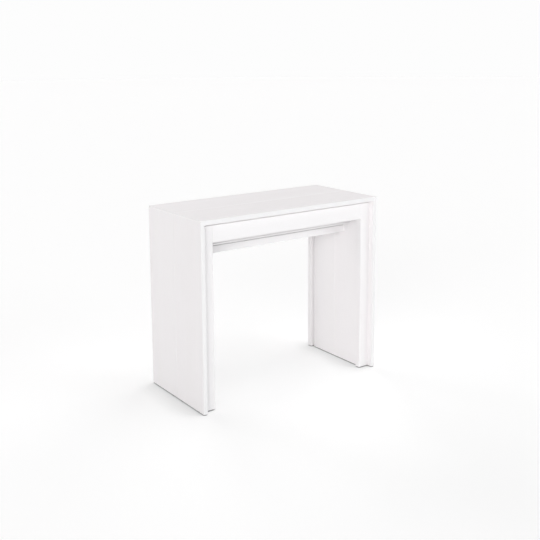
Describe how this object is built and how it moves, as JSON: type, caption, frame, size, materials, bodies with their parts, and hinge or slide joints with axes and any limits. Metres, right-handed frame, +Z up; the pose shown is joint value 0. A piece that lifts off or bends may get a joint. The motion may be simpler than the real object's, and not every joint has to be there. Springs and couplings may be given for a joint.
{
  "type": "extending dining table",
  "caption": "White extending console table: two half tables on hollow panel legs that draw apart on telescopic aluminium runners to take loose leaves, with latches under the top.",
  "frame": {"origin": "middle of the footprint, on the floor, with the table closed", "axes": "+X along the width to the right, +Y from the front to the rear, +Z up"},
  "size_m": [0.9, 0.42, 0.78],
  "materials": {
    "white_wood": "matt white open-pore laminate with a faint ash grain",
    "aluminium": "mill-finish extrusion",
    "zinc_steel": "bright zinc plate",
    "black_plastic": "moulded, satin",
    "beech": "raw fluted beech"
  },
  "bodies": {
    "rear_half": {"rear_top": "white_wood", "rear_apron": "white_wood", "rear_bearer": "white_wood", "rear_stretcher": "white_wood", "rear_glides": "black_plastic", "rear_runner_packers": "black_plastic", "rear_runner_screws": "zinc_steel", "rear_left_gable": "white_wood", "rear_left_post": "white_wood", "rear_left_lining": "white_wood", "rear_left_stile": "white_wood", "rear_left_leg_blocks": "white_wood", "rear_left_end_runner": "aluminium", "rear_right_gable": "white_wood", "rear_right_post": "white_wood", "rear_right_lining": "white_wood", "rear_right_stile": "white_wood", "rear_right_leg_blocks": "white_wood", "rear_right_end_runner": "aluminium", "latch_pivots": "zinc_steel"},
    "front_half": {"front_top": "white_wood", "front_apron": "white_wood", "front_bearer": "white_wood", "front_stretcher": "white_wood", "front_glides": "black_plastic", "front_runner_packers": "black_plastic", "front_runner_screws": "zinc_steel", "front_left_gable": "white_wood", "front_left_post": "white_wood", "front_left_lining": "white_wood", "front_left_stile": "white_wood", "front_left_leg_blocks": "white_wood", "front_left_end_runner": "aluminium", "front_right_gable": "white_wood", "front_right_post": "white_wood", "front_right_lining": "white_wood", "front_right_stile": "white_wood", "front_right_leg_blocks": "white_wood", "front_right_end_runner": "aluminium", "meeting_dowels": "beech", "latch_studs": "zinc_steel"},
    "stage_1": {"stage_1_left_runner": "aluminium", "stage_1_right_runner": "aluminium", "stage_1_crossbar": "aluminium"},
    "stage_2": {"stage_2_left_runner": "aluminium", "stage_2_right_runner": "aluminium", "stage_2_crossbar": "aluminium"},
    "stage_3": {"stage_3_left_runner": "aluminium", "stage_3_right_runner": "aluminium", "stage_3_crossbar": "aluminium"},
    "stage_4": {"stage_4_left_runner": "aluminium", "stage_4_right_runner": "aluminium", "stage_4_crossbar": "aluminium"},
    "stage_5": {"stage_5_left_runner": "aluminium", "stage_5_right_runner": "aluminium", "stage_5_crossbar": "aluminium"},
    "left_latch": {"left_latch": "zinc_steel"},
    "right_latch": {"right_latch": "zinc_steel"}
  },
  "joints": [
    {"name": "front_slide", "type": "slide", "parent": "rear_half", "child": "front_half", "axis": [0, -1, 0], "range_m": [0, 1.5]},
    {"name": "stage_1_slide", "type": "slide", "parent": "rear_half", "child": "stage_1", "axis": [0, -1, 0], "range_m": [0, 0.2501]},
    {"name": "stage_2_slide", "type": "slide", "parent": "rear_half", "child": "stage_2", "axis": [0, -1, 0], "range_m": [0, 0.5001]},
    {"name": "stage_3_slide", "type": "slide", "parent": "rear_half", "child": "stage_3", "axis": [0, -1, 0], "range_m": [0, 0.7501]},
    {"name": "stage_4_slide", "type": "slide", "parent": "rear_half", "child": "stage_4", "axis": [0, -1, 0], "range_m": [0, 1.0001]},
    {"name": "stage_5_slide", "type": "slide", "parent": "rear_half", "child": "stage_5", "axis": [0, -1, 0], "range_m": [0, 1.2501]},
    {"name": "left_latch_swing", "type": "hinge", "parent": "rear_half", "child": "left_latch", "pos_m": [-0.15, 0.022, 0.76], "axis": [0, 0, 1], "range_deg": [0, 90]},
    {"name": "right_latch_swing", "type": "hinge", "parent": "rear_half", "child": "right_latch", "pos_m": [0.15, 0.022, 0.76], "axis": [0, 0, -1], "range_deg": [0, 90]}
  ],
  "couplings": [
    {"joint": "stage_1_slide", "follows": "front_slide", "ratio": 0.16667},
    {"joint": "stage_2_slide", "follows": "front_slide", "ratio": 0.33333},
    {"joint": "stage_3_slide", "follows": "front_slide", "ratio": 0.5},
    {"joint": "stage_4_slide", "follows": "front_slide", "ratio": 0.66667},
    {"joint": "stage_5_slide", "follows": "front_slide", "ratio": 0.83333}
  ]
}
